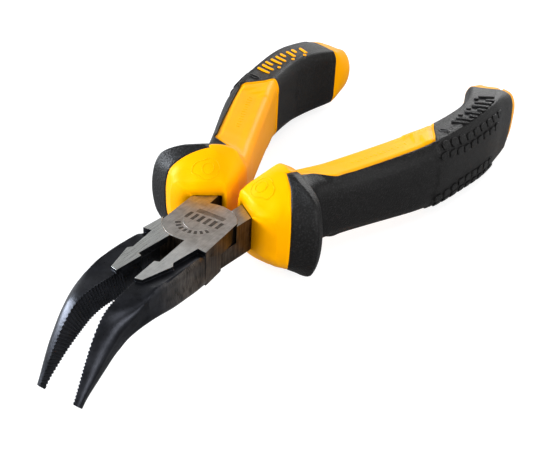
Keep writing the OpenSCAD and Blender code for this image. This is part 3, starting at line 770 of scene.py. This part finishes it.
def stepped(name, outlines, extent, levels, side):
    """Solid over a plan of outlines.

    extent(inside flags) gives the indices of a cell's lowest and highest level, or None.
    """
    outlines = [anticlockwise(p) for p in outlines]
    points, edges = [], []
    for p in outlines:
        n = len(points)
        points += [Vector(tuple(map(float, x))) for x in p]
        edges += [(n + i, n + (i + 1) % len(p)) for i in range(len(p))]
    plan, _, triangles, _, _, _ = delaunay_2d_cdt(points, edges, [], 0, 1e-6)
    plan = np.array([tuple(v) for v in plan])
    cells = {}
    for t in triangles:
        a, b, c = plan[list(t)]
        if (b[0] - a[0]) * (c[1] - a[1]) - (b[1] - a[1]) * (c[0] - a[0]) < 0:
            t = t[::-1]
        middle = plan[list(t)].mean(0)
        levels_here = extent([is_inside(p, middle) for p in outlines])
        if levels_here:
            cells[tuple(t)] = levels_here
    sides = {(t[i], t[(i + 1) % 3]): span for t, span in cells.items() for i in range(3)}
    verts, index, faces = [], {}, []

    def vertex(i, k):
        if (i, k) not in index:
            index[(i, k)] = len(verts)
            verts.append((plan[i][0], plan[i][1], levels[k]))
        return index[(i, k)]

    for t, (low, high) in cells.items():
        faces.append([vertex(i, high) for i in t])
        faces.append([vertex(i, low) for i in t[::-1]])
    for (i, j), (low, high) in sides.items():
        other = sides.get((j, i))
        for k in range(low, high):
            if other is None or not (other[0] <= k < other[1]):
                faces.append([vertex(i, k), vertex(j, k), vertex(j, k + 1), vertex(i, k + 1)])
    return add_solid(name, np.array(verts), faces, side)


def cone(name, low_radius, high_radius, low, high, side):
    n = CONE_SEGMENTS
    t = np.arange(n) * 2 * math.pi / n
    verts = np.concatenate([
        np.column_stack([radius * np.cos(t), radius * np.sin(t), np.full(n, z)])
        for radius, z in ((low_radius, low), (high_radius, high))])
    faces = [tuple(range(n))[::-1], tuple(range(n, 2 * n))]
    faces += [(j, (j + 1) % n, (j + 1) % n + n, j + n) for j in range(n)]
    return add_solid(name, verts, faces, side)


def boolean(ob, tool, operation):
    """Applies a boolean to ob and removes the tool."""
    modifier = ob.modifiers.new("boolean", "BOOLEAN")
    modifier.operation = operation
    modifier.object = tool
    modifier.solver = "EXACT"
    depsgraph = bpy.context.evaluated_depsgraph_get()
    mesh = bpy.data.meshes.new_from_object(ob.evaluated_get(depsgraph))
    ob.modifiers.clear()
    old = ob.data
    ob.data = mesh
    bpy.data.meshes.remove(old)
    bpy.data.objects.remove(tool)


def head(side):
    upper = side == "a"
    corner = math.asin(HALF_WIDTH / LAP_RADIUS)
    lap = arc(np.linspace(-corner, corner, 48), LAP_RADIUS)
    lap += arc(np.linspace(math.pi - corner, math.pi + corner, 48), LAP_RADIUS)
    disc = arc(np.arange(180) * math.pi / 90, LAP_RADIUS + LAP_GAP)
    # underside, joint plane, foot of the arrow, top
    joint = LAP_GAP / 2 if upper else -LAP_GAP / 2
    levels = [-THICK / 2, joint, THICK / 2 - ARROW_THICK, THICK / 2]
    half = (1, 3) if upper else (0, 1)

    def extent(inside):
        in_lap, in_jaw, in_tang, in_arrow, in_disc = inside
        if in_disc:
            return half if in_lap or in_jaw or in_tang else None
        if in_jaw or in_tang:
            return 0, 3
        if in_arrow:
            return 2, 3
        return half if in_lap else None

    outlines = [lap, JAW_OUTLINE, TANG_OUTLINE, ARROW_OUTLINE, disc]
    return stepped("forged_lever_" + side, outlines, extent, levels, side)


def tang(side):
    rings = [
        np.array([[x, inner, z], [x, outer, z], [x, outer, -z], [x, inner, -z]]) * UNIT
        for x, inner, outer, z in TANG]
    return add_loft("tang", rings, side)


def countersink(side, gap):
    """Seat of the rivet's head, on the upper face of "a" and the lower face of "b"."""
    narrow, wide = RIVET_WIDTH / 2 + gap - 0.002, RIVET_HEAD_WIDTH / 2 + gap + 0.1
    face = THICK / 2
    if side == "a":
        return cone("countersink", narrow, wide, face - RIVET_HEAD_DEPTH, face + 0.1, side)
    return cone("countersink", wide, narrow, -face - 0.1, -face + RIVET_HEAD_DEPTH, side)


def mark_sharp_edges(ob, degrees):
    bm = bmesh.new()
    bm.from_mesh(ob.data)
    limit = math.radians(degrees)
    for e in bm.edges:
        e.smooth = not (len(e.link_faces) == 2 and e.calc_face_angle(0) > limit)
    for f in bm.faces:
        f.smooth = True
    bm.to_mesh(ob.data)
    bm.free()


def lever(side):
    gap = FIXED_GAP if side == "a" else BEARING_GAP
    radius = RIVET_WIDTH / 2 + gap
    body = head(side)
    boolean(body, nose(side), "UNION")
    boolean(body, tang(side), "UNION")
    boolean(body, cone("rivet_hole", radius, radius, -THICK, THICK, side), "DIFFERENCE")
    boolean(body, countersink(side, gap), "DIFFERENCE")
    mark_sharp_edges(body, 32)
    return body


# ---------------------------------------------------------------- materials
class Nodes:
    """A material with a Principled shader, and short ways to add nodes to it."""

    def __init__(self, name):
        self.material = bpy.data.materials.new(name)
        self.material.use_nodes = True
        self.tree = self.material.node_tree
        self.tree.nodes.clear()
        out = self.new("ShaderNodeOutputMaterial")
        self.bsdf = self.new("ShaderNodeBsdfPrincipled")
        self.link(self.bsdf.outputs[0], out.inputs[0])
        self.place = self.new("ShaderNodeTexCoord").outputs["Object"]

    def new(self, kind):
        return self.tree.nodes.new(kind)

    def link(self, output, socket):
        self.tree.links.new(output, socket)

    def put(self, socket, value):
        """Links an output, or sets a number or an RGB colour."""
        if hasattr(value, "is_output"):
            self.link(value, socket)
        elif isinstance(value, tuple):
            socket.default_value = value + (1,)
        else:
            socket.default_value = value

    def set(self, **values):
        for key, value in values.items():
            self.put(self.bsdf.inputs[key.replace("_", " ")], value)

    def math(self, operation, a, b=0.0):
        n = self.new("ShaderNodeMath")
        n.operation = operation
        self.put(n.inputs[0], a)
        self.put(n.inputs[1], b)
        return n.outputs[0]

    def add(self, a, b):
        return self.math("ADD", a, b)

    def times(self, a, b):
        return self.math("MULTIPLY", a, b)

    def below(self, value, limit):
        return self.math("LESS_THAN", value, limit)

    def above(self, value, limit):
        return self.math("GREATER_THAN", value, limit)

    def distance(self, coordinate, centre):
        return self.math("ABSOLUTE", self.add(coordinate, -centre))

    def stripes(self, coordinate, frequency, level):
        return self.above(self.math("SINE", self.times(coordinate, frequency)), level)

    def axes(self):
        n = self.new("ShaderNodeSeparateXYZ")
        self.link(self.place, n.inputs[0])
        return n.outputs

    def scaled(self, scale, source=None):
        n = self.new("ShaderNodeMapping")
        self.link(source or self.place, n.inputs[0])
        n.inputs["Scale"].default_value = scale
        return n.outputs[0]

    def noise(self, scale, detail, rough, vector=None):
        n = self.new("ShaderNodeTexNoise")
        n.inputs["Scale"].default_value = scale
        n.inputs["Detail"].default_value = detail
        n.inputs["Roughness"].default_value = rough
        self.link(vector or self.place, n.inputs["Vector"])
        return n.outputs[0]

    def streaks(self, scale, detail=6, rough=0.7):
        """Noise drawn out along x; its first mapping is there to turn it, and is at zero."""
        n = self.new("ShaderNodeMapping")
        n.vector_type = "TEXTURE"
        self.link(self.place, n.inputs[0])
        return self.noise(1.0, detail, rough, self.scaled(scale, n.outputs[0]))

    def tone(self, streak, cloud, share):
        """Mix of two noises, share being the weight of the first."""
        return self.add(self.times(streak, share), self.times(cloud, 1 - share))

    def ramp(self, value, low, high, stops=(0.3, 0.7)):
        n = self.new("ShaderNodeValToRGB")
        for e, position, colour in zip(n.color_ramp.elements, stops, (low, high)):
            e.position = position
            e.color = colour + (1,)
        self.link(value, n.inputs[0])
        return n.outputs[0]

    def remap(self, value, to, source=(0.3, 0.7)):
        n = self.new("ShaderNodeMapRange")
        self.put(n.inputs[0], value)
        for k, x in enumerate(source + to, 1):
            n.inputs[k].default_value = x
        return n.outputs[0]

    def blend(self, factor, a, b):
        n = self.new("ShaderNodeMix")
        n.data_type = "RGBA"
        self.put(n.inputs[0], factor)
        self.put(n.inputs[6], a)
        self.put(n.inputs[7], b)
        return n.outputs[2]

    def bump(self, height, strength, distance, normal=None):
        n = self.new("ShaderNodeBump")
        n.inputs["Strength"].default_value = strength
        n.inputs["Distance"].default_value = distance
        self.link(height, n.inputs["Height"])
        if normal is not None:
            self.link(normal, n.inputs["Normal"])
        return n.outputs[0]

    def metal(self, colour, grain, rough=(0.26, 0.42), metallic=1.0):
        self.set(Base_Color=colour, Metallic=metallic, Roughness=self.remap(grain, to=rough))

    def relief(self, height, strength, distance, edge):
        """Bump over edges rounded by the radius edge, m."""
        n = self.new("ShaderNodeBevel")
        n.samples = 4
        n.inputs[0].default_value = edge
        self.set(Normal=self.bump(height, strength, distance, n.outputs[0]))


def yellow_plastic():
    k = Nodes("yellow_plastic")
    big = k.noise(scale=90, detail=3, rough=0.6)
    fine = k.noise(scale=2600, detail=3, rough=0.6)
    colour = k.ramp(big, low=(0.95, 0.38, 0.0), high=(0.98, 0.425, 0.0))
    k.set(Base_Color=colour, Roughness=k.remap(fine, to=(0.3, 0.4)), IOR=1.36)
    k.set(Specular_Tint=(1.0, 0.7, 0.08), Specular_IOR_Level=0.16)
    waves = k.bump(k.noise(scale=380, detail=2, rough=0.5), strength=0.1, distance=0.0002)
    k.set(Normal=k.bump(fine, strength=0.12, distance=0.00005, normal=waves))
    return k.material


def black_overmould():
    k = Nodes("black_overmould")
    grain = k.noise(scale=2300, detail=2, rough=0.6)
    big = k.noise(scale=70, detail=3, rough=0.6)
    colour = k.ramp(big, low=(0.003, 0.0028, 0.0028), high=(0.005, 0.0047, 0.0047))
    # lighter grains
    colour = k.blend(k.remap(grain, source=(0.5, 0.72), to=(0, 1)), colour, (0.019, 0.0187, 0.019))
    k.set(Base_Color=colour, Roughness=k.remap(grain, to=(0.34, 0.5)), IOR=1.29)
    k.set(Normal=k.bump(grain, strength=1.0, distance=0.00016))
    return k.material


def ground_steel():
    k = Nodes("ground_steel")
    streak = k.streaks(scale=(200, 4200, 1200))
    cloud = k.noise(scale=330, detail=5, rough=0.7)
    tone = k.tone(streak, cloud, share=0.55)
    k.metal(k.ramp(tone, (0.2, 0.185, 0.17), (0.44, 0.425, 0.4), stops=(0.36, 0.62)), streak)
    k.relief(streak, strength=0.25, distance=0.00004, edge=0.00012)
    return k.material


def polished_arrow():
    k = Nodes("polished_arrow")
    streak = k.streaks(scale=(180, 5200, 900), detail=5, rough=0.6)
    k.metal(k.ramp(streak, (0.42, 0.43, 0.42), (0.68, 0.69, 0.67)), streak, rough=(0.24, 0.36))
    k.relief(streak, strength=0.15, distance=0.00004, edge=0.00015)
    return k.material


def black_oxide():
    k = Nodes("black_oxide_steel")
    grain = k.noise(scale=1700, detail=5, rough=0.65)
    mottle = k.noise(scale=260, detail=4, rough=0.6)
    colour = k.ramp(mottle, low=(0.015, 0.016, 0.019), high=(0.036, 0.038, 0.046))
    k.metal(colour, grain, rough=(0.26, 0.4), metallic=0.95)
    k.relief(grain, strength=0.3, distance=0.00006, edge=0.00025)
    return k.material


def ground_side():
    """Flanks of the head: dark steel with upright grinding marks that run out along the jaw, painted
    darker and browner towards the lap as a reflection of the yellow collar.
    """
    k = Nodes("ground_side_steel")
    streak = k.noise(scale=1.0, detail=6, rough=0.7, vector=k.scaled((3600, 3600, 120)))
    cloud = k.noise(scale=300, detail=4, rough=0.6)
    tone = k.tone(streak, cloud, share=0.65)
    stops = (0.4, 0.62)
    # near the lap: grinding streaks with a painted reflection of the yellow collar, darker and browner
    # than further out
    near = k.ramp(tone, (0.016, 0.012, 0.010), (0.15, 0.115, 0.085), stops)
    far = k.ramp(tone, (0.03, 0.028, 0.027), (0.2, 0.18, 0.165), stops)
    bare = k.ramp(cloud, (0.026, 0.026, 0.029), (0.05, 0.052, 0.06))
    x = k.axes()[0]
    ground = k.blend(k.remap(x, source=(-0.02, -0.009), to=(0, 1)), far, near)
    colour = k.blend(k.remap(x, source=(-0.0262, -0.0185), to=(0, 1)), bare, ground)
    k.metal(colour, streak, metallic=0.95)
    k.relief(streak, strength=0.35, distance=0.00006, edge=0.00005)
    return k.material


def etched_mark(k, x, y):
    """Mask of an arc of ticks, a row of cells and a hatched bar round the rivet, metres."""
    arc_x, arc_y = k.add(x, 0.0004), k.add(y, -0.0002)
    radius = k.math("SQRT", k.add(k.times(arc_x, arc_x), k.times(arc_y, arc_y)))
    angle = k.math("ARCTAN2", arc_y, k.times(arc_x, -1.0))
    band = k.times(k.above(radius, 0.0040), k.below(radius, 0.0053))
    ticks = k.stripes(angle, frequency=22.0, level=-0.15)
    ticked_arc = k.times(k.times(band, ticks), k.below(k.math("ABSOLUTE", angle), 1.15))
    from_bar, from_middle = k.distance(x, centre=0.0039), k.distance(y, centre=-0.0004)
    bar = k.times(k.below(from_bar, 0.0008), k.below(from_middle, 0.0039))
    hatch = k.stripes(k.add(x, y), frequency=9000.0, level=-0.5)
    from_row = k.distance(x, centre=0.0010)
    cells = k.stripes(y, frequency=3600.0, level=-0.1)
    row = k.times(k.times(k.below(from_row, 0.0014), k.below(from_middle, 0.0049)), cells)
    return k.math("MAXIMUM", k.math("MAXIMUM", ticked_arc, row), k.times(bar, hatch))


def ground_plate():
    """Top of the upper lever: brownish ground steel that turns brighter towards the arrow."""
    k = Nodes("ground_plate")
    streak = k.streaks(scale=(200, 4600, 1200))
    cloud = k.noise(scale=420, detail=5, rough=0.7)
    tone = k.tone(streak, cloud, share=0.55)
    plate = k.ramp(tone, (0.28, 0.262, 0.245), (0.56, 0.54, 0.515), stops=(0.38, 0.6))
    arrow = k.ramp(tone, (0.5, 0.5, 0.49), (0.78, 0.785, 0.77), stops=(0.34, 0.64))
    x, y, _ = k.axes()
    base = k.blend(k.remap(x, source=(-0.0078, -0.0125), to=(0, 1)), plate, arrow)
    mark = etched_mark(k, x, y)
    worn = k.times(mark, k.remap(cloud, source=(0.35, 0.6), to=(0.97, 0.78)))
    k.metal(k.blend(worn, base, (0.05, 0.046, 0.043)), streak)
    height = k.math("SUBTRACT", k.times(streak, 0.4), k.times(mark, 0.6))
    k.relief(height, strength=0.3, distance=0.00005, edge=0.00012)
    return k.material


def floor_paper():
    """Grey paper that the camera sees brightened."""
    k = Nodes("floor_paper")
    grey = k.noise(scale=3, detail=2, rough=0.5)
    k.set(Base_Color=k.ramp(grey, (0.33, 0.33, 0.33), (0.36, 0.36, 0.36)), Roughness=0.9)
    path = k.new("ShaderNodeLightPath")
    k.set(
        Emission_Color=(1.0, 1.0, 1.0),
        Emission_Strength=k.times(path.outputs["Is Camera Ray"], 0.8))
    return k.material


YELLOW, BLACK = yellow_plastic(), black_overmould()
GROUND, POLISHED, OXIDE = ground_steel(), polished_arrow(), black_oxide()
SIDE, TOP = ground_side(), ground_plate()
LEVER_MATERIALS = (OXIDE, GROUND, POLISHED, SIDE, TOP)


def paint_lever(ob, side):
    """Gives each face its material by its direction and place in the closed tool."""
    mesh = ob.data
    mesh.materials.clear()
    for material in LEVER_MATERIALS:
        mesh.materials.append(material)
    oxide, ground, polished, flank_steel, plate = range(len(LEVER_MATERIALS))
    n = len(mesh.polygons)
    normal, centre = np.zeros(n * 3), np.zeros(n * 3)
    mesh.polygons.foreach_get("normal", normal)
    mesh.polygons.foreach_get("center", centre)
    normal, centre = normal.reshape(-1, 3), centre.reshape(-1, 3) * 1000
    angle = -OPEN / 2 if side == "a" else OPEN / 2
    c, s = math.cos(angle), math.sin(angle)
    x = centre[:, 0] * c - centre[:, 1] * s
    y = abs(centre[:, 0] * s + centre[:, 1] * c)
    z = centre[:, 2]
    normal_y = abs(normal[:, 0] * s + normal[:, 1] * c)
    normal_z = normal[:, 2]
    index = np.full(n, oxide)
    top = (normal_z > 0.95) & (abs(z) < 0.02)
    bottom = (normal_z < -0.95) & (abs(z + THICK) < 0.02)
    index[top] = plate if side == "a" else ground
    index[bottom] = ground
    if side == "b":
        index[top & (x < 0)] = polished
    flank = (normal_y > 0.75) & (y > 0.75 * HALF_WIDTH) & (y < HALF_WIDTH + 0.3)
    index[flank & (x > -32 * UNIT) & (x < 16 * UNIT)] = flank_steel
    notch = (abs(normal_z) < 0.3) & (y <= 0.75 * HALF_WIDTH) & (x > -13 * UNIT) & (x < 8 * UNIT)
    index[notch] = flank_steel
    mesh.polygons.foreach_set("material_index", index.astype(np.int32))
    mesh.update()


# ---------------------------------------------------------------- build
def register(ob, side, cad_piece):
    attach(ob, "half_" + side)
    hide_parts(cad_piece + side)


for side in ("a", "b"):
    piece = overmould(side)
    piece.data.materials.append(BLACK)
    register(piece, side, "overmould_")
    piece = core(side)
    piece.data.materials.append(YELLOW)
    register(piece, side, "core_")
    piece = lever(side)
    paint_lever(piece, side)
    register(piece, side, "lever_")

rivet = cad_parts["pivot_rivet"]
rivet.data.materials.clear()
rivet.data.materials.append(TOP)


# ---------------------------------------------------------------- stage, metres
def add_camera():
    camera = bpy.data.objects.new("camera", bpy.data.cameras.new("camera"))
    bpy.context.scene.collection.objects.link(camera)
    camera.data.sensor_width = 36
    camera.data.lens = 56.251636
    camera.data.clip_start, camera.data.clip_end = 0.01, 10
    camera.matrix_world = Matrix((
        (0.53310494, 0.42296034, -0.73273711, -0.13682002),
        (-0.84484852, 0.31225655, -0.434427, -0.10134436),
        (0.04505657, 0.85064705, 0.52380292, 0.10870933 - THICK / 2000),
        (0, 0, 0, 1)))
    bpy.context.scene.camera = camera


def add_floor():
    """A table that touches the tips and the undersides of the grips."""
    floor = add_mesh("floor", [(-6, -6, 0), (6, -6, 0), (6, 6, 0), (-6, 6, 0)], [(0, 1, 2, 3)])
    floor.data.materials.append(floor_paper())
    tip_x, grip_x = -51 * UNIT, 100 * UNIT
    tip_z = -15.4 * UNIT - THICK / 2
    grip_z = -12.1 * UNIT - THICK / 2 - 0.7
    floor.rotation_euler = (0, -math.atan((grip_z - tip_z) / (grip_x - tip_x)), 0)
    floor.location = (tip_x / 1000, 0, (tip_z - 0.05) / 1000)


def add_world():
    """Grey surroundings, brighter below the horizon."""
    world = bpy.data.worlds.new("studio")
    bpy.context.scene.world = world
    world.use_nodes = True
    tree = world.node_tree
    background = tree.nodes["Background"]
    sky = tree.nodes.new("ShaderNodeTexCoord")
    axes = tree.nodes.new("ShaderNodeSeparateXYZ")
    tree.links.new(sky.outputs["Generated"], axes.inputs[0])
    gradient = tree.nodes.new("ShaderNodeValToRGB")
    stops = gradient.color_ramp.elements
    for place, level in ((0.0, 0.9), (0.3, 0.9), (0.46, 0.5), (0.62, 0.34), (1.0, 0.42)):
        if place in (0, 1):
            stop = stops[-int(place)]
        else:
            stop = stops.new(place)
        stop.color = (level, level, level, 1)
    tree.links.new(axes.outputs["Z"], gradient.inputs[0])
    tree.links.new(gradient.outputs[0], background.inputs[0])
    background.inputs[1].default_value = 1.0


def add_lamp(name, location, target, size, power, colour=(1, 1, 1)):
    data = bpy.data.lights.new(name, "AREA")
    data.shape = "RECTANGLE"
    data.size, data.size_y = size
    data.energy = power
    data.color = colour
    lamp = bpy.data.objects.new(name, data)
    bpy.context.scene.collection.objects.link(lamp)
    lamp.location = location
    lamp.rotation_mode = "QUATERNION"
    lamp.rotation_quaternion = (Vector(target) - Vector(location)).to_track_quat("-Z", "Y")


add_camera()
add_floor()
add_world()
# name, location, target, size, power, colour
add_lamp("front", (-0.16, -0.62, 0.3), (0.03, 0, 0), (0.5, 0.34), 2.6)
add_lamp("low", (-0.5, -0.36, 0.07), (0.03, 0, 0), (0.34, 0.2), 0.9)
add_lamp("window", (-0.2, 0.62, 0.2), (0.0, 0, 0), (0.34, 0.3), 8.6, (0.86, 0.92, 1.0))
add_lamp("top", (-0.2, -0.12, 0.72), (0.05, 0, 0), (0.42, 0.42), 1.45)
add_lamp("rear", (0.62, 0.07, 0.23), (0.08, 0, 0), (0.34, 0.18), 1.25)
try:
    bpy.context.scene.view_settings.view_transform = "Standard"
except TypeError:
    # a colour configuration without this view keeps its own
    pass
